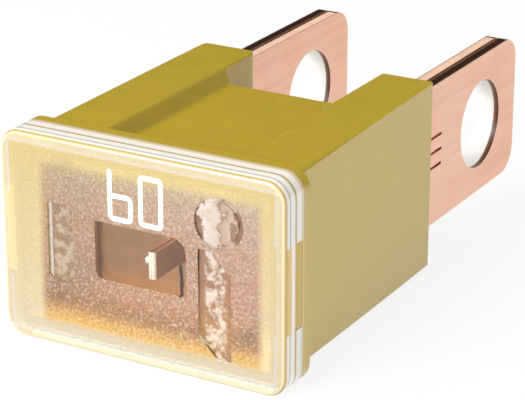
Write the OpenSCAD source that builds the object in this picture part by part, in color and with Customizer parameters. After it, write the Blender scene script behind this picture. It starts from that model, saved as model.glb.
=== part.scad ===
// Bolt-down cartridge fuse: a moulded housing with a clear clip-fit window cover,
// and one folded copper element whose two blades leave the back of the housing.
// The window faces -Y, the blades point to +Y, and the fuse lies on its wide side.

/* [Housing] */
// Width of the moulded body behind the flange
body_w = 18.5; // [16:0.1:24]
// Height of the moulded body
body_h = 13; // [11.5:0.05:16]
// Length of the body from the flange to the back of the two lobes
body_l = 19.6; // [17.5:0.1:28]
// Length of the middle block between the lobes
block_l = 15.3; // [10:0.1:16]
// Width of each lobe at its back end
lobe_w = 4.05; // [3.6:0.05:5]
// Draft of each side over the length of the body
side_draft = 0.35; // [0.1:0.05:0.6]
// Radius of the long edges of the body
body_edge_r = 0.45; // [0.2:0.05:0.8]
// Depth of the shallow recess in each wide side
recess_depth = 1.1; // [0.4:0.05:1.4]
// Width over which each side wall of the recess rolls down
recess_roll = 0.9; // [0.5:0.05:1.5]
// Radius in and on the corners where the lobes leave the block
lobe_corner_r = 0.6; // [0.3:0.05:1]

/* [Flange and chamber] */
// Thickness of the flange that the cover closes against
flange_t = 0.7; // [0.5:0.05:1.5]
// How far the flange and the cover stand proud of the short sides of the body
rim_x = 1; // [0.6:0.05:1.4]
// How far the flange and the cover stand proud of the wide sides of the body
rim_z = 0.5; // [0.2:0.05:0.9]
// Corner radius of the flange and the cover
rim_corner_r = 1.4; // [1:0.1:2.5]
// Wall of the collar that the cover snaps over
collar_t = 0.7; // [0.5:0.05:1]
// Depth of the chamber behind the flange
chamber_depth = 4.5; // [3.8:0.1:7]
// Wall between the chamber and each short side of the body
side_wall = 1; // [0.6:0.05:1.3]
// Wall between the chamber and the floor of each recess
floor_t = 1; // [0.6:0.1:1.4]

/* [Window cover] */
// Depth of the cover from its face to the flange
cover_depth = 2.35; // [2.25:0.05:4]
// Thickness of the clear face
face_t = 1; // [0.6:0.05:1.1]
// Thickness of the skirt round the face
skirt_t = 0.6; // [0.4:0.05:0.9]
// Radius of the front edge of the cover
cover_edge_r = 0.4; // [0.15:0.05:0.6]
// Length of each latch slot along the short side
latch_l = 5.6; // [3:0.1:8]
// Width of each latch slot
latch_w = 0.8; // [0.6:0.05:0.9]
// Bar of skirt left behind each latch slot
latch_bar = 0.3; // [0.2:0.05:0.4]
// Depth of the sunk fields in the face
sunk_depth = 0.15; // [0.05:0.05:0.4]
// Diameter of the round gate mark
gate_d = 3.4; // [1.5:0.1:3.8]
// Depth of the step round the polished pane
pane_step = 0.05; // [0.03:0.01:0.15]

/* [Blades] */
// Width of each blade
blade_w = 10.15; // [7:0.05:10.2]
// Thickness of the sheet, which is folded double in the blades
sheet_t = 0.85; // [0.5:0.05:0.9]
// Reach of each blade past the back of its lobe
blade_reach = 16.05; // [13:0.05:24]
// Diameter of the bolt hole in each blade
hole_d = 6.4; // [4.3:0.1:7]
// Distance from the hole's centre to the tip
hole_from_tip = 5.9; // [5:0.1:9]
// Radius of the blade's outer corners
tip_r = 1.8; // [0.5:0.1:3]
// Height of the blades' centre line above that of the body
blade_rise = 0.3; // [0:0.05:0.3]
// Gap left round each blade in its slot
slot_gap = 0.05; // [0.02:0.01:0.15]

/* [Link] */
// Height of the fusing link
link_h = 1.8; // [1:0.1:3]
// Thickness of the link strip
link_t = 0.25; // [0.15:0.05:0.25]
// Gap above and below the arms that carry the link
arm_gap = 0.2; // [0.1:0.05:1.5]
// Gap between the inner edges of the two arms
arm_slit = 0.25; // [0.15:0.05:0.4]
// Outside width of the narrow loop in the link
loop_w = 0.6; // [0.6:0.05:1.2]
// Shift of the loop to the right of the middle
loop_shift = 0.2; // [0:0.05:0.3]
// Gap between the loop and the cover's face
loop_gap = 0.45; // [0.3:0.05:0.8]
// Drop of the link below the middle of the body
link_drop = 0.6; // [0:0.1:1]
// Diameter of the alloy rivet's head
pellet_d = 1; // [0.7:0.1:1.4]

/* [Hidden] */
cut = 1;
arc_n = 8;

mid_z = body_h / 2;
half_w = body_w / 2;
back_half_w = half_w - side_draft;
lobe_in = back_half_w - lobe_w;
rim_w = body_w + 2 * rim_x;
rim_h = body_h + 2 * rim_z;

collar_gap = 0.05;
collar_w = rim_w - 2 * (skirt_t + collar_gap);
collar_h = rim_h - 2 * (skirt_t + collar_gap);
collar_corner_r = rim_corner_r - skirt_t;
chamber_w = collar_w - 2 * collar_t;
chamber_h = collar_h - 2 * collar_t;
chamber_corner_r = 0.4;
well_w = body_w - 2 * side_wall;
well_h = body_h - 2 * (recess_depth + floor_t);
face_y = -flange_t - cover_depth;
face_back_y = face_y + face_t;

latch_y = -flange_t - latch_bar - latch_w;
latch_gap = 0.05;

blade_t = 2 * sheet_t;
blade_x = (lobe_in + back_half_w) / 2;
blade_z = mid_z + blade_rise;
blade_start = 3;
blade_tip = body_l + blade_reach;
hole_y = blade_tip - hole_from_tip;
seam_w = 0.12;
seam_d = 0.5;
nick_pitch = 1.08;
nick_w = 0.22;
nick_d = 0.2;
nick_l = 3.6;

link_z = mid_z - link_drop;
arm_h = well_h - 2 * arm_gap;
arm_y = 2.2;
bend_r = 0.7;
leg_bend_r = 0.4;
leg_slit = 0.15;
loop_x = (loop_w - link_t) / 2;
loop_front_y = face_back_y + loop_gap;
pellet_y = loop_front_y + loop_w / 2 + pellet_d / 2;
pellet_head = 0.4;
pellet_shank_d = pellet_d / 2;
pellet_hole_gap = 0.02;

// The whole fuse is centred on its own box and lifted to lie on its rim
place = [0, -(blade_tip + face_y) / 2, rim_z];

// Points of an arc about a centre, from one angle to another
function arc(centre, r, from, to, steps = arc_n) =
    [for (i = [0 : steps])
        let (a = from + (to - from) * i / steps)
        [centre[0] + r * cos(a), centre[1] + r * sin(a)]];

// Outline of a rectangle with round corners, centred on the origin
function round_box(w, h, r) = concat(
    arc([w / 2 - r, h / 2 - r], r, 0, 90),
    arc([r - w / 2, h / 2 - r], r, 90, 180),
    arc([r - w / 2, r - h / 2], r, 180, 270),
    arc([w / 2 - r, r - h / 2], r, 270, 360));

// A prism along Y, from an outline drawn in X and Z
module along_y(from, to) {
    translate([0, to, 0])
        rotate([90, 0, 0])
            linear_extrude(to - from)
                children();
}

// A prism along X, from an outline drawn in Y and Z
module along_x(from, to) {
    translate([from, 0, 0])
        rotate([90, 0, 90])
            linear_extrude(to - from)
                children();
}

// A block along Y with round long edges, centred on the body's middle
module round_block(w, h, r, from, to) {
    along_y(from, to)
        translate([0, mid_z])
            polygon(round_box(w, h, r));
}

// Both sides of a shape that is drawn on the +X side
module both_sides() {
    children();
    mirror([1, 0, 0]) children();
}

// One side of the recess, as a smooth roll from the wide side down to its floor
function recess_side(side, steps = 10) =
    [for (i = [0 : steps])
        let (t = i / steps, x = lobe_in + recess_roll * (0.25 - t))
        [side * x, body_h - recess_depth * t * t * (3 - 2 * t)]];

// The recess as it is cut from the top, running out above it
function recess_points() =
    let (right = recess_side(1), left = recess_side(-1), last = len(left) - 1)
    concat(
        [[right[0][0], body_h + cut]],
        right,
        [for (i = [last : -1 : 0]) left[i]],
        [[left[0][0], body_h + cut]]);

// Cross-section of the body, the same from the flange to the back
module body_section() {
    difference() {
        translate([0, mid_z])
            polygon(round_box(body_w, body_h, body_edge_r));
        polygon(recess_points());
        translate([0, body_h])
            mirror([0, 1])
                polygon(recess_points());
    }
}

// Plan of the body: drafted sides, two lobes at the back and the block between
function plan_side() =
    let (r = lobe_corner_r, e = body_edge_r)
    concat(
        [[half_w, 0]],
        arc([back_half_w - e, body_l - e], e, 0, 90),
        arc([lobe_in + e, body_l - e], e, 90, 180),
        arc([lobe_in - r, block_l + r], r, 0, -90));

module body_plan() {
    right = plan_side();
    left = [for (i = [len(right) - 1 : -1 : 0]) [-right[i][0], right[i][1]]];
    polygon(concat(right, left));
}

module body_solid() {
    intersection() {
        along_y(0, body_l) body_section();
        linear_extrude(body_h) body_plan();
    }
}

// Snap boss on the collar, sloped at its front so that the cover rides over it
module latch_boss() {
    front = latch_y + latch_gap;
    back = latch_y + latch_w - latch_gap;
    root = collar_w / 2 - collar_t / 2;
    top = rim_w / 2;
    lead = 0.15;
    translate([0, 0, mid_z - latch_l / 2 + latch_gap])
        linear_extrude(latch_l - 2 * latch_gap)
            polygon([[root, front], [top - lead, front], [top, front + lead], [top, back], [root, back]]);
}

// Slot that a blade slides down, from the flange right through its lobe
module blade_slot() {
    translate([
        blade_x - sheet_t - slot_gap,
        -flange_t,
        blade_z - blade_w / 2 - slot_gap
    ])
        cube([blade_t + 2 * slot_gap, flange_t + body_l + cut, blade_w + 2 * slot_gap]);
}

module housing() {
    color([0.72, 0.62, 0.08])
        translate(place)
            difference() {
                union() {
                    body_solid();
                    round_block(rim_w, rim_h, rim_corner_r, -flange_t, 0);
                    round_block(collar_w, collar_h, collar_corner_r, face_back_y, 0);
                    both_sides() latch_boss();
                }
                round_block(chamber_w, chamber_h, chamber_corner_r, face_back_y - cut, -flange_t);
                round_block(well_w, well_h, chamber_corner_r, -flange_t - cut, chamber_depth);
                both_sides() blade_slot();
            }
}

// One corner post of the cover, with its front edge rounded over
module cover_corner() {
    r = rim_corner_r;
    e = cover_edge_r;
    rotate([-90, 0, 0])
        rotate_extrude($fn = 32)
            polygon(concat(
                [[0, 0]],
                arc([r - e, e], e, -90, 0, 5),
                [[r, cover_depth], [0, cover_depth]]));
}

// The cover's outside, drawn tight round its four corner posts
module cover_outside() {
    dx = rim_w / 2 - rim_corner_r;
    dz = rim_h / 2 - rim_corner_r;
    hull()
        for (x = [-dx, dx], z = [-dz, dz])
            translate([x, face_y, mid_z + z])
                cover_corner();
}

// Sunk field in the face, with two corners cut off at a slant
module sunk_field(x, z, w, h, slant) {
    along_y(face_y - cut, face_y + sunk_depth)
        translate([x, z])
            polygon([
                [-w / 2, slant - h / 2], [slant - w / 2, -h / 2], [w / 2, -h / 2],
                [w / 2, h / 2 - slant], [w / 2 - slant, h / 2], [-w / 2, h / 2]
            ]);
}

// Outline of the polished pane, with one wide round corner
function pane_outline() = concat(
    arc([2.35, mid_z + 1.1], 1, 0, 90),
    [[-3.2, mid_z + 2.1]],
    arc([-2.6, mid_z - 1.13], 0.6, 180, 270),
    arc([3.1, mid_z - 1.48], 0.25, 270, 360));

module window_cover() {
    gate_x = 5.67;
    gate_z = mid_z + 3.63;
    gate_ring = 0.35;
    color([0.93, 0.86, 0.72, 0.45])
        translate(place)
            difference() {
                cover_outside();
                round_block(
                    rim_w - 2 * skirt_t, rim_h - 2 * skirt_t, collar_corner_r,
                    face_back_y, cut);
                both_sides()
                    translate([rim_w / 2 - skirt_t - cut / 2, latch_y, mid_z - latch_l / 2])
                        cube([skirt_t + cut, latch_w, latch_l]);
                translate([gate_x, face_y, gate_z])
                    rotate([90, 0, 0])
                        difference() {
                            translate([0, 0, -sunk_depth])
                                cylinder(d = gate_d, h = sunk_depth + cut, $fn = 48);
                            translate([0, 0, -sunk_depth - cut])
                                cylinder(d = gate_d - 2 * gate_ring, h = cut + sunk_depth - 0.05, $fn = 48);
                        }
                sunk_field(5.35, mid_z - 1.8, 2.3, 7.1, 1.4);
                sunk_field(-5.8, mid_z + 0.1, 1.9, 5.2, 0.4);
                along_y(face_y - cut, face_y + pane_step)
                    polygon(pane_outline());
            }
}

// Outline of one blade in Y and Z, from the chamber to its rounded tip
function blade_outline() =
    let (r = tip_r, in_r = 0.6, h = blade_w / 2)
    concat(
        arc([blade_tip - r, h - r], r, 90, 0),
        arc([blade_tip - r, r - h], r, 0, -90),
        arc([blade_start + in_r, in_r - h], in_r, -90, -180),
        arc([blade_start + in_r, h - in_r], in_r, 180, 90));

// Fine seam between the two leaves, along the top edge and round the tip
module leaf_seam() {
    inset = tip_r + seam_d;
    translate([0, 0, blade_z])
        along_x(blade_x - seam_w / 2, blade_x + seam_w / 2)
            difference() {
                translate([body_l + 0.5, -blade_w / 2 + tip_r])
                    square([blade_reach + cut, blade_w]);
                polygon(concat(
                    [[body_l - cut, -blade_w]],
                    [[blade_tip - seam_d, -blade_w]],
                    arc([blade_tip - inset, blade_w / 2 - inset], tip_r, 0, 90),
                    [[body_l - cut, blade_w / 2 - seam_d]]));
            }
}

// Three short nicks pressed into the outer face where the blade leaves the lobe
module stamped_nicks() {
    for (i = [-1 : 1])
        translate([
            blade_x + sheet_t - nick_d,
            body_l + 0.2,
            blade_z + 0.2 + i * nick_pitch - nick_w / 2
        ])
            cube([nick_d + cut, nick_l, nick_w]);
}

module blade() {
    difference() {
        translate([0, 0, blade_z])
            along_x(blade_x - sheet_t, blade_x + sheet_t)
                polygon(blade_outline());
        translate([blade_x - sheet_t - cut, hole_y, blade_z])
            rotate([0, 90, 0])
                cylinder(d = hole_d, h = blade_t + 2 * cut, $fn = 64);
        leaf_seam();
        stamped_nicks();
    }
}

// Centre line of half of the link in plan, from inside a blade to the loop's front
function link_path(middle) =
    let (start_x = blade_x - sheet_t / 2, turn = loop_x)
    concat(
        [[start_x, blade_start + 1]],
        arc([start_x - bend_r, arm_y + bend_r], bend_r, 0, -90),
        arc([middle + loop_x + leg_bend_r, arm_y - leg_bend_r], leg_bend_r, 90, 180),
        arc([middle, loop_front_y + link_t / 2 + turn], turn, 0, -90, 10));

// Unit normal of the path at one of its points
function path_normal(p, i) =
    let (
        a = p[max(i - 1, 0)],
        b = p[min(i + 1, len(p) - 1)],
        d = b - a,
        n = norm(d))
    [-d[1] / n, d[0] / n];

// Outline of a strip of one thickness about a path
function strip(p, t) = concat(
    [for (i = [0 : len(p) - 1]) p[i] + path_normal(p, i) * t / 2],
    [for (i = [len(p) - 1 : -1 : 0]) p[i] - path_normal(p, i) * t / 2]);

// Front view of half of the link: the thin strip of the loop, and the tall arm
module link_front(middle) {
    arm_from = middle + loop_x + leg_bend_r;
    low = link_drop - arm_h / 2;
    high = link_drop + arm_h / 2;
    polygon([
        [middle - 0.1, -link_h / 2], [arm_from, -link_h / 2], [arm_from, low], [half_w, low],
        [half_w, high], [arm_from, high], [arm_from, link_h / 2], [middle - 0.1, link_h / 2]
    ]);
}

// Flat end of an arm above and below the loop's leg, up to the slit in the middle
module arm_end(middle) {
    arm_from = middle + loop_x + leg_bend_r;
    along_y(arm_y - link_t / 2, arm_y + link_t / 2)
        translate([0, link_z])
            difference() {
                translate([arm_slit / 2, link_drop - arm_h / 2])
                    square([arm_from + 0.3 - arm_slit / 2, arm_h]);
                translate([-cut, -link_h / 2 - leg_slit])
                    square([arm_from + cut, link_h + 2 * leg_slit]);
            }
}

module link_half(middle) {
    intersection() {
        translate([0, 0, mid_z - arm_h / 2])
            linear_extrude(arm_h)
                polygon(strip(link_path(middle), link_t));
        along_y(face_back_y, blade_start + 2)
            translate([0, link_z])
                link_front(middle);
    }
    arm_end(middle);
}

module fuse_element() {
    color([0.90, 0.66, 0.52])
        translate(place)
            difference() {
                union() {
                    both_sides() blade();
                    link_half(loop_shift);
                    mirror([1, 0, 0]) link_half(-loop_shift);
                }
                translate([loop_shift - loop_w / 2 - link_t, pellet_y, link_z])
                    rotate([0, 90, 0])
                        cylinder(
                            d = pellet_shank_d + 2 * pellet_hole_gap,
                            h = loop_w / 2 + link_t, $fn = 24);
            }
}

// Low-melting rivet set in one leg of the loop, with its head on the outer face
module alloy_pellet() {
    color([0.78, 0.77, 0.74])
        translate(place)
            translate([loop_shift - loop_w / 2, pellet_y, link_z])
                rotate([0, 90, 0]) {
                    cylinder(d = pellet_shank_d, h = link_t, $fn = 24);
                    translate([0, 0, -pellet_head])
                        cylinder(d = pellet_d, h = pellet_head, $fn = 32);
                }
}

housing();
window_cover();
fuse_element();
alloy_pellet();
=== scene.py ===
import math

import bmesh
import bpy
import numpy as np
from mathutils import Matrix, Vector


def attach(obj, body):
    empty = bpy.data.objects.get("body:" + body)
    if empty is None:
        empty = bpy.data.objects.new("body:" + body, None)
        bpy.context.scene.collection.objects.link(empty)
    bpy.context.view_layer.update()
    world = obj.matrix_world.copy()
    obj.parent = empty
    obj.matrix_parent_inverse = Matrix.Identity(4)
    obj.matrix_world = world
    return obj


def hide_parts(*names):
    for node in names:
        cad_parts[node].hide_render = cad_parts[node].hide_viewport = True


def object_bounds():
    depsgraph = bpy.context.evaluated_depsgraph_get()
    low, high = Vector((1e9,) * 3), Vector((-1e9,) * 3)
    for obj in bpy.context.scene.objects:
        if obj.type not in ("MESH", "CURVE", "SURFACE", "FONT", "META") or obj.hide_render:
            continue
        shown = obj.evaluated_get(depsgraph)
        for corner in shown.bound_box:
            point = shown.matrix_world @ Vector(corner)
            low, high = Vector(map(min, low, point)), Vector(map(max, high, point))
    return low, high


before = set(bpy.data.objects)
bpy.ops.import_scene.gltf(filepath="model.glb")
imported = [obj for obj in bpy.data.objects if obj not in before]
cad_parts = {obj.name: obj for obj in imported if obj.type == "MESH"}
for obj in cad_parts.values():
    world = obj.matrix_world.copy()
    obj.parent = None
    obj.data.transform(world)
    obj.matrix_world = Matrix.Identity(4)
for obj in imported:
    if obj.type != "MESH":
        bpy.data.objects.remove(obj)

MM = 0.001
cad_box = [list(corner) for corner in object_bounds()]

# Housing: one moulding in mustard nylon, with a shallow recess in each wide side, two lobes that
# grip the blades, a flange, and a collar inside the cover. It comes out of a spark-eroded mould
# with a fine satin skin, a little paler where its long edges have been rubbed.
housing_edge = 0.09 * MM
housing_colour = (0.530, 0.362, 0.001, 1)
housing_worn = (0.60, 0.43, 0.05, 1)


def joined_copy(node, name):
    """A copy of a CAD node's skin: its loose triangles are joined and flat neighbours made one face."""
    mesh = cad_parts[node].data.copy()
    mesh.name = name
    mesh.materials.clear()
    bm = bmesh.new()
    bm.from_mesh(mesh)
    bmesh.ops.remove_doubles(bm, verts=bm.verts, dist=1e-3 * MM)
    bmesh.ops.dissolve_limit(bm, angle_limit=math.radians(0.5), verts=bm.verts, edges=bm.edges)
    bm.to_mesh(mesh)
    bm.free()
    piece = bpy.data.objects.new(name, mesh)
    bpy.context.scene.collection.objects.link(piece)
    return piece


def soften(piece, width, sharp=35, segments=2):
    """Smooth faces with sharp creases, and a small bevel on each edge that turns by more than sharp."""
    mesh = piece.data
    mesh.polygons.foreach_set("use_smooth", np.ones(len(mesh.polygons), dtype=bool))
    mesh.set_sharp_from_angle(angle=math.radians(sharp))
    if width:
        bevel = piece.modifiers.new("edge_radius", "BEVEL")
        bevel.width = width
        bevel.segments = segments
        bevel.limit_method = "ANGLE"
        bevel.angle_limit = math.radians(sharp)
        bevel.miter_outer = "MITER_ARC"
    flat = piece.modifiers.new("flat_faces", "WEIGHTED_NORMAL")
    flat.keep_sharp = True


def new_group(name, inputs, outputs):
    """An empty shader group with the named sockets, and its input and output nodes."""
    group = bpy.data.node_groups.new(name, "ShaderNodeTree")
    for direction, sockets in (("INPUT", inputs), ("OUTPUT", outputs)):
        for label, kind in sockets:
            group.interface.new_socket(label, in_out=direction, socket_type="NodeSocket" + kind)
    nodes = group.nodes
    return group, nodes.new("NodeGroupInput"), nodes.new("NodeGroupOutput")


def add_node(tree, kind, links=None, **values):
    """A node in a tree: values are its properties, links its inputs' values or the sockets that feed them."""
    made = tree.nodes.new("ShaderNode" + kind)
    for name, value in values.items():
        setattr(made, name, value)
    for name, value in (links or {}).items():
        if isinstance(value, bpy.types.NodeSocket):
            tree.links.new(value, made.inputs[name])
        else:
            made.inputs[name].default_value = value
    return made


def object_place(tree):
    return add_node(tree, "TexCoord").outputs["Object"]


def fine_grain_group():
    """Grain of a moulded or blasted skin: two noises, one fine and one coarse, given out apart."""
    group, inp, out = new_group(
        "fine_grain",
        [("Vector", "Vector"), ("Grain size", "Float"), ("Blotch size", "Float")],
        [("Grain", "Float"), ("Blotch", "Float")])
    fine = add_node(group, "Math", {0: 1.0, 1: inp.outputs["Grain size"]}, operation="DIVIDE")
    wide = add_node(group, "Math", {0: 1.0, 1: inp.outputs["Blotch size"]}, operation="DIVIDE")
    grain = add_node(group, "TexNoise", {
        "Vector": inp.outputs["Vector"], "Scale": fine.outputs[0], "Detail": 2.0, "Roughness": 0.55})
    blotch = add_node(group, "TexNoise", {
        "Vector": inp.outputs["Vector"], "Scale": wide.outputs[0], "Detail": 3.0, "Roughness": 0.5})
    group.links.new(grain.outputs["Fac"], out.inputs["Grain"])
    group.links.new(blotch.outputs["Fac"], out.inputs["Blotch"])
    return group


def edge_wear_group():
    """Wear where a surface turns: the bevelled normal parts from the true one, broken up by a noise."""
    group, inp, out = new_group(
        "edge_wear",
        [("Vector", "Vector"), ("Radius", "Float"), ("Break up", "Float")],
        [("Wear", "Float")])
    bevel = add_node(group, "Bevel", {"Radius": inp.outputs["Radius"]}, samples=6)
    true = add_node(group, "NewGeometry")
    dot = add_node(group, "VectorMath", {
        0: bevel.outputs["Normal"], 1: true.outputs["Normal"]}, operation="DOT_PRODUCT")
    scale = add_node(group, "Math", {0: 1.0, 1: inp.outputs["Break up"]}, operation="DIVIDE")
    noise = add_node(group, "TexNoise", {
        "Vector": inp.outputs["Vector"], "Scale": scale.outputs[0], "Detail": 3.0})
    turned = add_node(group, "MapRange", {
        "Value": dot.outputs["Value"], "From Min": 0.995, "From Max": 0.80, "To Min": 0.0, "To Max": 1.0})
    broken = add_node(group, "MapRange", {
        "Value": noise.outputs["Fac"], "From Min": 0.40, "From Max": 0.62, "To Min": 0.0, "To Max": 1.0})
    wear = add_node(group, "Math", {0: turned.outputs[0], 1: broken.outputs[0]}, operation="MULTIPLY")
    group.links.new(wear.outputs[0], out.inputs["Wear"])
    return group


fine_grain = fine_grain_group()
edge_wear = edge_wear_group()


def new_material(name):
    """An empty node material and its tree, output and Principled BSDF."""
    material = bpy.data.materials.new(name)
    material.use_nodes = True
    tree = material.node_tree
    return material, tree, tree.nodes["Material Output"], tree.nodes["Principled BSDF"]


def place_group(tree, group, **values):
    made = tree.nodes.new("ShaderNodeGroup")
    made.node_tree = group
    for name, value in values.items():
        socket = made.inputs[name.replace("_", " ")]
        if isinstance(value, bpy.types.NodeSocket):
            tree.links.new(value, socket)
        else:
            socket.default_value = value
    return made


def mix_colour(tree, factor, a, b, blend="MIX"):
    """The colour output of a Mix node between a and b, each a colour or a socket."""
    made = tree.nodes.new("ShaderNodeMix")
    made.data_type = "RGBA"
    made.blend_type = blend
    for index, value in ((0, factor), (6, a), (7, b)):
        if isinstance(value, bpy.types.NodeSocket):
            tree.links.new(value, made.inputs[index])
        else:
            made.inputs[index].default_value = value
    return made.outputs[2]


def spread(tree, value, low, high, to_low, to_high):
    """A value mapped from one range to another and held inside it."""
    return add_node(tree, "MapRange", {
        "Value": value, "From Min": low, "From Max": high, "To Min": to_low, "To Max": to_high}).outputs[0]


def bands(tree, value, low, high, stops):
    """The colour of a soft ramp between stops, each a value from low to high and its colour."""
    share = spread(tree, value, low, high, 0.0, 1.0)
    ramp = add_node(tree, "ValToRGB", {0: share})
    ramp.color_ramp.interpolation = "EASE"
    ends = ramp.color_ramp.elements
    for end, (at, colour) in zip(ends, (stops[0], stops[-1])):
        end.position, end.color = (at - low) / (high - low), (*colour, 1)
    for at, colour in stops[1:-1]:
        ends.new((at - low) / (high - low)).color = (*colour, 1)
    return ramp.outputs["Color"]


def place_on(tree, axis):
    """One object coordinate, X, Y or Z."""
    return add_node(tree, "SeparateXYZ", {0: object_place(tree)}).outputs[axis]


def bump(tree, height, strength, distance, under=None):
    """A Bump node's normal, laid over another where one is given."""
    made = add_node(tree, "Bump", {"Height": height, "Strength": strength, "Distance": distance})
    if under:
        tree.links.new(under, made.inputs["Normal"])
    return made.outputs["Normal"]


material, tree, output, skin = new_material("mustard_nylon")
where = object_place(tree)
grain = place_group(tree, fine_grain, Vector=where, Grain_size=0.11 * MM, Blotch_size=2.6 * MM)
wear = place_group(tree, edge_wear, Vector=where, Radius=0.22 * MM, Break_up=0.8 * MM)
tone = spread(tree, grain.outputs["Blotch"], 0.35, 0.65, 0.0, 1.0)
blotched = mix_colour(tree, tone, housing_colour, (0.550, 0.378, 0.002, 1))
speckle = spread(tree, grain.outputs["Grain"], 0.30, 0.70, 0.90, 1.08)
speckled = mix_colour(tree, 1.0, blotched, speckle, "MULTIPLY")
rubbed = add_node(tree, "Math", {0: wear.outputs["Wear"], 1: 0.55}, operation="MULTIPLY")
tree.links.new(mix_colour(tree, rubbed.outputs[0], speckled, housing_worn), skin.inputs["Base Color"])
tree.links.new(spread(tree, grain.outputs["Grain"], 0.3, 0.7, 0.42, 0.58), skin.inputs["Roughness"])
tree.links.new(bump(tree, grain.outputs["Grain"], 0.35, 0.02 * MM), skin.inputs["Normal"])
skin.inputs["IOR"].default_value = 1.53
skin.inputs["Specular IOR Level"].default_value = 1.0
skin.inputs["Coat Weight"].default_value = 0.8
skin.inputs["Coat Roughness"].default_value = 0.25

housing = joined_copy("housing", "moulded_housing")
soften(housing, housing_edge)
housing.data.materials.append(material)
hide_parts("housing")
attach(housing, "root")

# Window cover: one clear moulding, clipped over the collar. Its outside is blasted in the mould
# to a frosted skin, all but the pane that shows the link, the round gate mark and the skirt.
face_y = cad_box[0][1]


def clear_material(name, transmission, colour, rough, grain_size, height, shade):
    """Clear plastic, which lets lamps through by Is Shadow Ray. A blasted skin has a coarse grain and some
    haze, and a polished one is only slightly uneven. colour(tree) gives the base colour."""
    material, tree, output, skin = new_material(name)
    where = object_place(tree)
    skin.inputs["IOR"].default_value = 1.56
    skin.inputs["Transmission Weight"].default_value = transmission
    grain = place_group(tree, fine_grain, Vector=where, Grain_size=grain_size, Blotch_size=1.8 * MM)
    tree.links.new(spread(tree, grain.outputs["Grain"], 0.3, 0.7, rough[0], rough[1]), skin.inputs["Roughness"])
    tree.links.new(bump(tree, grain.outputs["Grain"], 0.8, height), skin.inputs["Normal"])
    tree.links.new(colour(tree), skin.inputs["Base Color"])
    rays = add_node(tree, "LightPath")
    clear = add_node(tree, "BsdfTransparent", {"Color": shade})
    mixed = add_node(tree, "MixShader", {0: rays.outputs["Is Shadow Ray"]})
    tree.links.new(skin.outputs[0], mixed.inputs[1])
    tree.links.new(clear.outputs[0], mixed.inputs[2])
    tree.links.new(mixed.outputs[0], output.inputs["Surface"])
    return material


def faces_where(piece, slot, chosen):
    """Gives a material slot to the faces for which chosen(centre, normal) holds, both as whole arrays."""
    mesh = piece.data
    count = len(mesh.polygons)
    centre, normal = np.empty(count * 3), np.empty(count * 3)
    mesh.polygons.foreach_get("center", centre)
    mesh.polygons.foreach_get("normal", normal)
    slots = np.empty(count, dtype=np.int32)
    mesh.polygons.foreach_get("material_index", slots)
    slots[chosen(centre.reshape(-1, 3), normal.reshape(-1, 3))] = slot
    mesh.polygons.foreach_set("material_index", slots)


def cut_faces(piece, chosen, planes):
    """Cuts the faces for which chosen(centre, normal) holds along planes, each a point and a normal."""
    bm = bmesh.new()
    bm.from_mesh(piece.data)
    for place, across in planes:
        faces = [face for face in bm.faces if chosen(face.calc_center_median(), face.normal)]
        around = {edge for face in faces for edge in face.edges} | {vert for face in faces for vert in face.verts}
        bmesh.ops.bisect_plane(bm, geom=[*faces, *around], plane_co=place, plane_no=across, dist=1e-4 * MM)
    bm.to_mesh(piece.data)
    bm.free()


cover = joined_copy("window_cover", "clear_cover")
soften(cover, 0)
gate_middle, gate_radius = np.array([5.67, 10.63]) * MM, 1.7 * MM
field_box = np.array([-7.45, 8.80, 1.40, 12.62]) * MM
collar_box = np.array([-9.62, 9.62, 0.63, 13.37]) * MM
skirt_box = np.array([-9.95, 9.95, 0.30, 13.70]) * MM
on_front = lambda at, facing: at[1] < face_y + 0.01 * MM and facing[1] < -0.9
cut_faces(cover, on_front, [((x, 0, 0), (1, 0, 0)) for x in collar_box[:2]])
cut_faces(cover, on_front, [((0, 0, z), (0, 0, 1)) for z in collar_box[2:]])


def blotched(pale, deep, size):
    """A colour function that drifts between two close tones in blotches of a size."""
    def colour(tree):
        drift = place_group(tree, fine_grain, Vector=object_place(tree), Grain_size=size, Blotch_size=size)
        tone = spread(tree, drift.outputs["Blotch"], 0.3, 0.7, 0.0, 1.0)
        return mix_colour(tree, tone, (*pale, 1), (*deep, 1))
    return colour


def edge_distance(tree, box):
    """Distance inside a box's edges in X and Z."""
    x, z = place_on(tree, "X"), place_on(tree, "Z")
    gaps = [add_node(tree, "Math", {0: a, 1: b}, operation="SUBTRACT").outputs[0]
            for a, b in ((x, box[0]), (box[1], x), (z, box[2]), (box[3], z))]
    least = gaps[0]
    for gap in gaps[1:]:
        least = add_node(tree, "Math", {0: least, 1: gap}, operation="MINIMUM").outputs[0]
    return least


def latch_share(tree):
    """1 beside the latch slots, at the middle of each short side, and 0 above and below them."""
    off = add_node(tree, "Math", {0: place_on(tree, "Z"), 1: 7.0 * MM}, operation="SUBTRACT").outputs[0]
    off = add_node(tree, "Math", {0: off}, operation="ABSOLUTE").outputs[0]
    wide = add_node(tree, "Math", {0: place_on(tree, "X")}, operation="ABSOLUTE").outputs[0]
    beside = spread(tree, off, 2.7 * MM, 2.9 * MM, 1.0, 0.0)
    return add_node(tree, "Math", {
        0: beside, 1: spread(tree, wide, 9.1 * MM, 9.2 * MM, 0.0, 1.0)}, operation="MULTIPLY").outputs[0]


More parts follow.
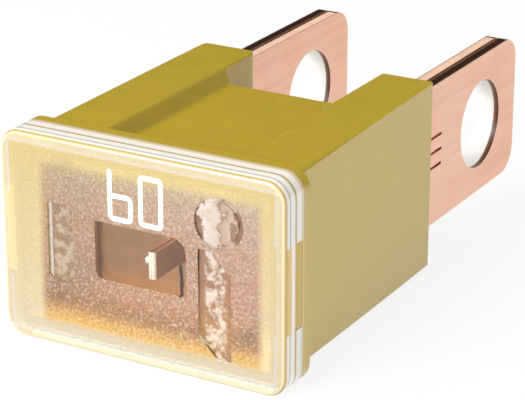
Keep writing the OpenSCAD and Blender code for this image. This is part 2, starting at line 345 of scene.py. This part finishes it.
def field_colour(tree):
    """Painted see-through and light: the copper link behind the frost painted brown, yellow at the very bottom
    where the collar shows, with painted shade low down and painted light towards the top, warmer on the left and
    cooler on the right, and white flecks that are painted glints of the frost. It fades into the painted yellow of
    the collar behind the border, where a thin painted highlight line follows the skirt's inside except beside the
    latch slots."""
    # Painted: the link and collar seen through the frost, with painted shade low down and painted light towards
    # the top.
    field = bands(tree, place_on(tree, "Z"), 1.0 * MM, 12.7 * MM, [
        (1.00 * MM, (1.0, 0.82, 0.36)), (1.9 * MM, (0.90, 0.60, 0.20)), (3.2 * MM, (0.42, 0.25, 0.17)),
        (5.2 * MM, (0.60, 0.39, 0.30)), (8.5 * MM, (0.68, 0.44, 0.32)), (11.0 * MM, (0.70, 0.53, 0.41)),
        (12.70 * MM, (0.82, 0.72, 0.42))])
    grain = place_group(tree, fine_grain, Vector=object_place(tree), Grain_size=0.19 * MM, Blotch_size=1.8 * MM)
    across = bands(tree, place_on(tree, "X"), -7.5 * MM, 8.9 * MM, [
        (-7.5 * MM, (1.0, 0.94, 0.80)), (8.9 * MM, (0.94, 0.96, 1.0))])
    field = mix_colour(tree, 1.0, field, across, "MULTIPLY")
    worn = spread(tree, grain.outputs["Grain"], 0.35, 0.55, 0.84, 1.0)
    # White flecks: painted glints of the frost's grain.
    painted_glint = spread(tree, grain.outputs["Grain"], 0.53, 0.68, 0.0, 0.62)
    glinted_field = mix_colour(tree, painted_glint, mix_colour(tree, 1.0, field, worn, "MULTIPLY"), (1.0, 0.93, 0.86, 1))
    # Painted yellow of the collar seen through the clear border.
    border = bands(tree, place_on(tree, "Z"), 0.5 * MM, 13.5 * MM, [
        (0.5 * MM, (1.0, 0.93, 0.72)), (3.0 * MM, (1.0, 0.88, 0.58)), (7.0 * MM, (0.98, 0.84, 0.50)),
        (13.5 * MM, (0.98, 0.80, 0.36))])
    # A painted highlight line along the collar's edge.
    line = spread(tree, edge_distance(tree, collar_box), 0.05 * MM, 0.18 * MM, 1.0, 0.0)
    line = add_node(tree, "Math", {0: line, 1: latch_share(tree)}, operation="SUBTRACT", use_clamp=True).outputs[0]
    border_with_highlight = mix_colour(tree, line, border, (1.0, 1.0, 0.97, 1))
    ragged = spread(tree, grain.outputs["Grain"], 0.3, 0.7, -0.15 * MM, 0.15 * MM)
    depth = add_node(tree, "Math", {0: edge_distance(tree, field_box), 1: ragged}, operation="ADD").outputs[0]
    return mix_colour(tree, spread(tree, depth, 0.0, 0.5 * MM, 0.0, 1.0), border_with_highlight, glinted_field)


def skirt_colour(tree):
    """Lines of white light, tan and grey along the skirt's wall, where it catches light and where its inside
    and the collar start. Beside the latch slots the yellow of the collar shows between them."""
    white, cream, tan, gold = (1.0, 0.99, 0.95), (0.84, 0.73, 0.47), (0.62, 0.44, 0.24), (0.88, 0.62, 0.20)
    grey, amber = (0.62, 0.58, 0.48), (0.60, 0.42, 0.14)
    depth = place_on(tree, "Y")
    bright = bands(tree, depth, face_y, face_y + 2.35 * MM, [(face_y + at * MM, colour) for at, colour in (
        (0.0, cream), (0.08, cream), (0.15, amber), (0.20, amber), (0.28, white), (0.46, white), (0.54, grey),
        (0.60, grey), (0.68, white), (1.08, white), (1.18, tan), (1.30, tan), (1.40, white), (1.86, white),
        (1.96, cream), (2.14, cream), (2.24, tan), (2.35, tan))])
    yellow = bands(tree, depth, face_y, face_y + 2.35 * MM, [(face_y + at * MM, colour) for at, colour in (
        (0.0, cream), (0.08, cream), (0.15, amber), (0.20, amber), (0.30, gold), (0.72, (0.92, 0.72, 0.34)),
        (0.82, white), (1.08, white), (1.18, tan), (1.30, gold), (2.2, gold), (2.35, tan))])
    return mix_colour(tree, latch_share(tree), bright, yellow)


def dimple_colour(tree):
    """Broken highlights on a wavy polished floor: white patches between brown margins in the right field, and
    fainter ones beside a bright line in the left field."""
    waves = place_group(tree, fine_grain, Vector=object_place(tree), Grain_size=0.50 * MM, Blotch_size=1.6 * MM)
    x = place_on(tree, "X")
    off = add_node(tree, "Math", {0: x, 1: 5.35 * MM}, operation="SUBTRACT").outputs[0]
    off = add_node(tree, "Math", {0: off}, operation="ABSOLUTE").outputs[0]
    right = spread(tree, x, -1.0 * MM, 1.0 * MM, 0.0, 1.0)
    within = add_node(tree, "Math", {
        0: spread(tree, off, 0.60 * MM, 0.85 * MM, 1.0, 0.0), 1: spread(tree, x, -1.0 * MM, 1.0 * MM, 1.0, 0.0)},
        operation="MAXIMUM").outputs[0]
    lit = spread(tree, waves.outputs["Grain"], 0.42, 0.60, 0.0, 1.0)
    lit = add_node(tree, "Math", {0: lit, 1: within}, operation="MULTIPLY").outputs[0]
    edge = bands(tree, x, -6.75 * MM, -6.25 * MM, [
        (-6.75 * MM, (0.60, 0.42, 0.26)), (-6.62 * MM, (1.0, 0.99, 0.95)), (-6.52 * MM, (1.0, 0.99, 0.95)),
        (-6.42 * MM, (0.50, 0.33, 0.20)), (-6.25 * MM, (0.54, 0.36, 0.22))])
    dull = mix_colour(tree, right, edge, (0.44, 0.27, 0.18, 1))
    bright = mix_colour(tree, right, (0.86, 0.74, 0.56, 1), (1.0, 0.97, 0.93, 1))
    past = spread(tree, x, -6.42 * MM, -6.40 * MM, 0.0, 1.0)
    lit = add_node(tree, "Math", {0: lit, 1: past}, operation="MULTIPLY").outputs[0]
    return mix_colour(tree, lit, dull, bright)


def gate_colour(tree):
    """The gate mark's turned floor in painted light and shade: painted shade at its rim, a painted highlight on
    the left and painted brown shade on the right of a thin dark line, all of it bent a little by waves."""
    waves = place_group(tree, fine_grain, Vector=object_place(tree), Grain_size=0.7 * MM, Blotch_size=1.6 * MM)
    bent = spread(tree, waves.outputs["Grain"], 0.3, 0.7, -0.5 * MM, 0.5 * MM)
    x = add_node(tree, "Math", {0: place_on(tree, "X"), 1: gate_middle[0]}, operation="SUBTRACT").outputs[0]
    x = add_node(tree, "Math", {0: x, 1: bent}, operation="ADD").outputs[0]
    # Painted shade at the rim, a painted highlight on the left and painted shade on the right.
    return bands(tree, x, -1.8 * MM, 1.8 * MM, [
        (-1.8 * MM, (0.36, 0.23, 0.16)), (-1.45 * MM, (0.42, 0.28, 0.20)), (-1.20 * MM, (1.0, 0.98, 0.95)),
        (-0.35 * MM, (0.84, 0.78, 0.72)), (-0.10 * MM, (0.74, 0.66, 0.58)), (0.05 * MM, (0.36, 0.24, 0.17)),
        (0.20 * MM, (0.62, 0.48, 0.38)), (0.95 * MM, (0.72, 0.60, 0.51)), (1.25 * MM, (0.40, 0.26, 0.18)),
        (1.8 * MM, (0.28, 0.17, 0.11))])


# The cover's colours paint what shows through the clear plastic, the copper link and the yellow collar and
# housing, with painted highlights and shade.
clear_shade = (0.80, 0.76, 0.70, 1)
cover.data.materials.append(clear_material(
    "polished_moulding", 1.0, blotched((0.98, 0.96, 0.93), (0.96, 0.94, 0.89), 1.8 * MM),
    (0.01, 0.03), 0.9 * MM, 0.01 * MM, clear_shade))
cover.data.materials.append(clear_material(
    "blasted_moulding", 0.58, field_colour, (0.20, 0.40), 0.19 * MM, 0.05 * MM, (0.50, 0.42, 0.34, 1)))
cover.data.materials.append(clear_material(
    "gate_moulding", 0.55, gate_colour, (0.03, 0.10), 0.70 * MM, 0.30 * MM, (0.60, 0.52, 0.44, 1)))
cover.data.materials.append(clear_material(
    "dimpled_moulding", 0.62, dimple_colour, (0.03, 0.10), 0.70 * MM, 0.35 * MM, (0.60, 0.52, 0.44, 1)))
cover.data.materials.append(clear_material(
    "skirt_moulding", 0.20, skirt_colour, (0.03, 0.08), 0.6 * MM, 0.02 * MM, clear_shade))
# The rim's cream yellow is the painted look of the yellow housing seen through the clear rim.
cover.data.materials.append(clear_material(
    "rim_moulding", 0.45, blotched((0.86, 0.76, 0.52), (0.81, 0.70, 0.45), 1.8 * MM),
    (0.02, 0.06), 0.6 * MM, 0.03 * MM, clear_shade))


def front_faces(at, facing):
    return (at[:, 1] < face_y + 0.01 * MM) & (facing[:, 1] < -0.9)


def outside(at, box, corner=0.0):
    """Whether places lie outside a box in X and Z that has round corners."""
    middle, half = (box[1::2] + box[::2]) / 2, (box[1::2] - box[::2]) / 2
    over = np.abs(at[:, ::2] - middle) - (half - corner)
    return np.linalg.norm(np.maximum(over, 0), axis=1) + np.minimum(over.max(axis=1), 0) > corner


faces_where(cover, 1, lambda at, facing: front_faces(at, facing) & ~outside(at, collar_box))
faces_where(cover, 3, lambda at, facing: (
    (at[:, 1] > face_y + 0.10 * MM) & (at[:, 1] < face_y + 0.20 * MM) & (facing[:, 1] < -0.9)))
faces_where(cover, 2, lambda at, facing: (
    (np.linalg.norm(at[:, ::2] - gate_middle, axis=1) < gate_radius) & (at[:, 1] < face_y + 0.3 * MM)))
faces_where(cover, 4, lambda at, facing: outside(at, skirt_box, 1.4 * MM))
faces_where(cover, 5, lambda at, facing: front_faces(at, facing) & outside(at, collar_box))
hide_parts("window_cover")
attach(cover, "root")

# Fuse element: one stamping of copper alloy, folded double in the two blades and thin in the
# looped link. Rolling leaves fine lines along the blades, and the press leaves bright cut edges.
copper_edge = 0.05 * MM
copper_bright = (0.88, 0.53, 0.38, 1)
copper_warm = (0.86, 0.49, 0.32, 1)

material, tree, output, skin = new_material("rolled_copper")
where = object_place(tree)
rolled = add_node(tree, "Mapping", {"Vector": where, "Scale": (1.0, 0.035, 1.0)}).outputs[0]
lines = place_group(tree, fine_grain, Vector=rolled, Grain_size=0.07 * MM, Blotch_size=0.5 * MM)
stain = place_group(tree, fine_grain, Vector=where, Grain_size=0.3 * MM, Blotch_size=5.0 * MM)
wear = place_group(tree, edge_wear, Vector=where, Radius=0.15 * MM, Break_up=0.6 * MM)
tone = spread(tree, stain.outputs["Blotch"], 0.35, 0.65, 0.0, 1.0)
copper = mix_colour(tree, tone, copper_bright, copper_warm)
streaks = spread(tree, lines.outputs["Grain"], 0.3, 0.7, 0.985, 1.015)
streaked = mix_colour(tree, 1.0, copper, streaks, "MULTIPLY")
tree.links.new(mix_colour(tree, wear.outputs["Wear"], streaked, (0.97, 0.74, 0.58, 1)), skin.inputs["Base Color"])
tree.links.new(spread(tree, lines.outputs["Blotch"], 0.3, 0.7, 0.26, 0.38), skin.inputs["Roughness"])
tree.links.new(bump(tree, lines.outputs["Blotch"], 0.10, 0.01 * MM), skin.inputs["Normal"])
skin.inputs["Metallic"].default_value = 1.0

element = joined_copy("fuse_element", "copper_element")
soften(element, copper_edge)
element.data.materials.append(material)


def cut_edge_material(name, colour, metallic, rough):
    """Sheared edge of the sheet: short scratches across it, over the base colour that colour(tree) gives."""
    material, tree, output, skin = new_material(name)
    where = object_place(tree)
    sheared = add_node(tree, "Mapping", {"Vector": where, "Scale": (0.2, 1.0, 1.0)}).outputs[0]
    marks = place_group(tree, fine_grain, Vector=sheared, Grain_size=0.12 * MM, Blotch_size=1.5 * MM)
    tone = spread(tree, marks.outputs["Blotch"], 0.35, 0.65, 0.88, 1.0)
    tree.links.new(mix_colour(tree, 1.0, colour(tree), tone, "MULTIPLY"), skin.inputs["Base Color"])
    tree.links.new(spread(tree, marks.outputs["Grain"], 0.3, 0.7, rough[0], rough[1]), skin.inputs["Roughness"])
    tree.links.new(bump(tree, marks.outputs["Grain"], 0.4, 0.01 * MM), skin.inputs["Normal"])
    skin.inputs["Metallic"].default_value = metallic
    return material


blade_middle = 6.875 * MM
blade_top = 12.37 * MM
hole_middle = np.array([13.45, 7.3]) * MM
hole_radius = 3.2 * MM
chamber_back = -11.8 * MM


def off_seam(tree, side):
    """Distance from a blade's middle plane towards +X where side is 1, or away from the fuse's middle."""
    x = place_on(tree, "X")
    reach = add_node(tree, "Math", {0: x}, operation="ABSOLUTE").outputs[0]
    out = add_node(tree, "Math", {0: reach, 1: blade_middle}, operation="SUBTRACT").outputs[0]
    if side == 0:
        return out
    sign = add_node(tree, "Math", {0: x}, operation="SIGN").outputs[0]
    return add_node(tree, "Math", {0: out, 1: sign}, operation="MULTIPLY").outputs[0]


def two_tone_top_colour(tree):
    """A blade's long top edge: light copper over the inner leaf, between dark lines at its inner side and at the
    seam, and dark over the outer leaf.
    """
    return bands(tree, off_seam(tree, 0), -0.85 * MM, 0.85 * MM, [
        (-0.85 * MM, (0.20, 0.09, 0.05)), (-0.72 * MM, (0.88, 0.55, 0.38)), (-0.25 * MM, (0.92, 0.60, 0.42)),
        (0.04 * MM, (0.30, 0.13, 0.07)), (0.30 * MM, (0.045, 0.015, 0.005)), (0.65 * MM, (0.045, 0.015, 0.005)),
        (0.85 * MM, (0.16, 0.07, 0.035))])


def hole_wall_painted_light(tree):
    """A hole's wall in painted light and shade: painted white light over its inner part, which the lamp reaches,
    and painted dark brown shade over its outer part, which the opposite wall shades.
    """
    return bands(tree, off_seam(tree, 1), -0.85 * MM, 0.85 * MM, [
        (-0.85 * MM, (1.0, 0.99, 0.97)), (0.42 * MM, (1.0, 0.98, 0.95)), (0.54 * MM, (0.22, 0.09, 0.035)),
        (0.85 * MM, (0.07, 0.025, 0.010))])


element.data.materials.append(cut_edge_material("two_tone_top_edge", two_tone_top_colour, 0.0, (0.45, 0.62)))
# The hole wall's white and dark brown are painted light and shade.
element.data.materials.append(cut_edge_material("hole_wall_light_and_shade", hole_wall_painted_light, 0.0, (0.35, 0.45)))
# The copper inside the chamber is a darker copy of the same copper, painted with shade.
element.data.materials.append(cut_edge_material("copper_painted_shade", blotched((0.63, 0.40, 0.23), (0.56, 0.35, 0.19), 0.8 * MM), 1.0, (0.38, 0.52)))
# The bend's near-white is a painted highlight on the front of the loop.
element.data.materials.append(cut_edge_material("bend_painted_highlight", blotched((0.98, 0.94, 0.88), (0.94, 0.89, 0.80), 0.3 * MM), 0.3, (0.22, 0.32)))
# Slot 3: painted shade on the copper inside the chamber.
faces_where(element, 3, lambda at, facing: at[:, 1] < chamber_back)
# Slot 4: a painted highlight on the front of the loop's bend.
faces_where(element, 4, lambda at, facing: (at[:, 1] < -17.2 * MM) & (facing[:, 1] < -0.4))
faces_where(element, 1, lambda at, facing: (at[:, 2] > blade_top) & (facing[:, 2] > 0.9))
faces_where(element, 2, lambda at, facing: (
    (np.abs(np.linalg.norm(at[:, 1:] - hole_middle, axis=1) - hole_radius) < 0.1 * MM)
    & (np.abs(facing[:, 0]) < 0.1)))
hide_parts("fuse_element")
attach(element, "root")

# Rivet: a small slug of soft alloy pressed into one leg of the loop, dull and lightly pitted.
material, tree, output, skin = new_material("soft_alloy")
where = object_place(tree)
pits = place_group(tree, fine_grain, Vector=where, Grain_size=0.1 * MM, Blotch_size=0.5 * MM)
tone = spread(tree, pits.outputs["Blotch"], 0.3, 0.7, 0.0, 1.0)
tree.links.new(mix_colour(tree, tone, (0.62, 0.60, 0.56, 1), (0.45, 0.43, 0.40, 1)), skin.inputs["Base Color"])
tree.links.new(spread(tree, pits.outputs["Grain"], 0.3, 0.7, 0.35, 0.55), skin.inputs["Roughness"])
tree.links.new(bump(tree, pits.outputs["Grain"], 0.4, 0.03 * MM), skin.inputs["Normal"])
skin.inputs["Metallic"].default_value = 1.0

rivet = joined_copy("alloy_pellet", "alloy_rivet")
soften(rivet, 0.08 * MM)
rivet.data.materials.append(material)
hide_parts("alloy_pellet")
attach(rivet, "root")

# Rating digits: the plain number 60, pad-printed in white ink on the frosted face. Each stroke
# has round ends and a slightly raised, soft edge.
ink_thick = 0.03 * MM
stroke = 0.34 * MM


def ink_stroke(points, closed):
    """A flat ribbon with a raised back: the path is resampled evenly, and each station carries a profile
    that is the path's normal times the half width, lifted towards the middle by a half ellipse."""
    path = np.asarray(points, dtype=float)
    if closed:
        path = np.vstack([path, path[:1]])
    steps = np.linalg.norm(np.diff(path, axis=0), axis=1)
    along = np.concatenate([[0], np.cumsum(steps)])
    count = max(int(along[-1] / (0.06 * MM)), 8)
    at = np.linspace(0, along[-1], count, endpoint=not closed)
    line = np.column_stack([np.interp(at, along, path[:, i]) for i in range(2)])
    if closed:
        ahead = np.roll(line, -1, axis=0) - np.roll(line, 1, axis=0)
    else:
        ahead = np.gradient(line, axis=0)
    ahead /= np.linalg.norm(ahead, axis=1, keepdims=True)
    across = np.column_stack([-ahead[:, 1], ahead[:, 0]])
    half = np.full(count, stroke / 2)
    if not closed:
        from_end = np.minimum(at, at[-1] - at)
        cap = np.clip(from_end / (stroke / 2), 0, 1)
        half = stroke / 2 * np.sqrt(np.clip(1 - (1 - cap) ** 2, 0.002, 1))
    side = np.linspace(-1, 1, 7)
    lift = np.sqrt(np.clip(1 - side ** 2, 0, 1))
    u = side[None, :] * half[:, None]
    spots = line[:, None, :] + across[:, None, :] * u[:, :, None]
    y = face_y - ink_thick * lift[None, :] * (half[:, None] / (stroke / 2)) + 0.002 * MM
    front = np.dstack([spots[:, :, 0], np.broadcast_to(y, spots.shape[:2]), spots[:, :, 1]])
    rows, cols = front.shape[:2]
    index = np.arange(rows * cols).reshape(rows, cols)
    ahead_index = np.roll(index, -1, axis=0) if closed else index[1:]
    here = index if closed else index[:-1]
    quads = np.dstack([
        here[:, :-1], here[:, 1:], ahead_index[:, 1:], ahead_index[:, :-1]]).reshape(-1, 4)
    return front.reshape(-1, 3), quads


def rounded_loop(x0, z0, x1, z1, r, steps=8):
    """A rectangle's outline with round corners of radius r, anticlockwise, as quarter circles joined up."""
    turn = np.linspace(0, math.pi / 2, steps)
    quarter = np.column_stack([np.cos(turn), np.sin(turn)]) * r
    spin = lambda k: quarter @ np.array([
        [math.cos(k), math.sin(k)], [-math.sin(k), math.cos(k)]])
    return np.vstack([
        spin(0) + (x1 - r, z1 - r), spin(math.pi / 2) + (x0 + r, z1 - r),
        spin(math.pi) + (x0 + r, z0 + r), spin(3 * math.pi / 2) + (x1 - r, z0 + r)])


digit_floor = 9.50 * MM
digit_top = 12.54 * MM
six_left, six_right = -2.03 * MM, -0.54 * MM
zero_left, zero_right = 0.19 * MM, 1.62 * MM
six_shoulder = digit_floor + 1.50 * MM
six_tip = digit_top + 0.18 * MM
strokes = [
    ink_stroke(rounded_loop(six_left, digit_floor, six_right, six_shoulder, 0.26 * MM), True),
    ink_stroke([(six_left, six_shoulder - 0.45 * MM), (six_left, six_tip)], False),
    ink_stroke(rounded_loop(zero_left, digit_floor, zero_right, digit_top, 0.20 * MM), True),
]
verts, faces, count = [], [], 0
for spots, quads in strokes:
    verts.append(spots)
    faces.append(quads + count)
    count += len(spots)
mesh = bpy.data.meshes.new("rating_digits")
mesh.from_pydata(np.vstack(verts).tolist(), [], np.vstack(faces).tolist())
mesh.polygons.foreach_set("use_smooth", np.ones(len(mesh.polygons), dtype=bool))
digits = bpy.data.objects.new("rating_digits", mesh)
bpy.context.scene.collection.objects.link(digits)

material, tree, output, skin = new_material("white_ink")
where = object_place(tree)
ink = place_group(tree, fine_grain, Vector=where, Grain_size=0.08 * MM, Blotch_size=0.4 * MM)
tone = spread(tree, ink.outputs["Blotch"], 0.3, 0.7, 0.0, 1.0)
tree.links.new(mix_colour(tree, tone, (0.93, 0.93, 0.91, 1), (0.86, 0.86, 0.83, 1)), skin.inputs["Base Color"])
tree.links.new(spread(tree, ink.outputs["Grain"], 0.3, 0.7, 0.35, 0.55), skin.inputs["Roughness"])
tree.links.new(bump(tree, ink.outputs["Grain"], 0.3, 0.01 * MM), skin.inputs["Normal"])
digits.data.materials.append(material)
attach(digits, "root")

# Studio: a white floor that keeps the fuse's soft shadow, a white background, a broad lamp above the front, and
# the camera at the photograph's angle.
floor_half = 0.6
mesh = bpy.data.meshes.new("floor")
mesh.from_pydata(
    [(-floor_half, -floor_half, 0), (floor_half, -floor_half, 0),
     (floor_half, floor_half, 0), (-floor_half, floor_half, 0)], [], [(0, 1, 2, 3)])
floor = bpy.data.objects.new("floor", mesh)
bpy.context.scene.collection.objects.link(floor)
material, tree, output, skin = new_material("white_sheet")
skin.inputs["Base Color"].default_value = (0.84, 0.84, 0.84, 1)
skin.inputs["Roughness"].default_value = 0.9
skin.inputs["Specular IOR Level"].default_value = 0.0
rays = add_node(tree, "LightPath")
mirrored = add_node(tree, "Math", {
    0: rays.outputs["Is Glossy Ray"], 1: rays.outputs["Is Transmission Ray"]}, operation="MAXIMUM")
glow = add_node(tree, "Emission", {"Color": (1, 1, 1, 1), "Strength": 1.0})
seen = add_node(tree, "Math", {0: rays.outputs["Is Camera Ray"], 1: 0.85}, operation="MULTIPLY")
share = add_node(tree, "Math", {0: seen.outputs[0], 1: mirrored.outputs[0]}, operation="MAXIMUM")
mixed = add_node(tree, "MixShader", {0: share.outputs[0]})
tree.links.new(skin.outputs[0], mixed.inputs[1])
tree.links.new(glow.outputs[0], mixed.inputs[2])
tree.links.new(mixed.outputs[0], output.inputs["Surface"])
floor.data.materials.append(material)

room_fill = 0.78
room_mirrored = 0.02
world = bpy.data.worlds.new("studio")
bpy.context.scene.world = world
world.use_nodes = True
tree = world.node_tree
rays = add_node(tree, "LightPath")
seen = add_node(tree, "Math", {
    0: rays.outputs["Is Camera Ray"], 1: rays.outputs["Is Transmission Ray"]}, operation="MAXIMUM")
room = add_node(tree, "MapRange", {
    "Value": rays.outputs["Is Glossy Ray"], "To Min": room_fill, "To Max": room_mirrored})
shown = add_node(tree, "MapRange", {
    "Value": seen.outputs[0], "To Min": room.outputs[0], "To Max": 1.0})
tree.nodes["Background"].inputs["Color"].default_value = (1, 1, 1, 1)
tree.links.new(shown.outputs[0], tree.nodes["Background"].inputs["Strength"])

body_middle = Vector((0, -0.006, 0.006))


def lamp(name, place, size, power):
    """A square area lamp at a place in metres, turned to face the body."""
    light = bpy.data.lights.new(name, "AREA")
    light.shape = "SQUARE"
    light.size = size
    light.energy = power
    made = bpy.data.objects.new(name, light)
    bpy.context.scene.collection.objects.link(made)
    made.location = place
    made.rotation_mode = "QUATERNION"
    made.rotation_quaternion = (body_middle - Vector(place)).to_track_quat("-Z", "Y")


lamp("front_lamp", (-0.10, -0.30, 0.20), 0.20, 1.35)

camera_place = Vector((70.17, -126.96, 60.96)) * MM
camera_target = Vector((1.79, -7.30, 7.34)) * MM
camera = bpy.data.objects.new("camera", bpy.data.cameras.new("camera"))
bpy.context.scene.collection.objects.link(camera)
camera.location = camera_place
camera.rotation_mode = "QUATERNION"
camera.rotation_quaternion = (camera_target - camera_place).to_track_quat("-Z", "Y")
camera.data.sensor_width = 36
camera.data.lens = 156.27
camera.data.clip_start = 0.01
camera.data.clip_end = 10
bpy.context.scene.camera = camera
bpy.context.scene.view_settings.view_transform = "Standard"
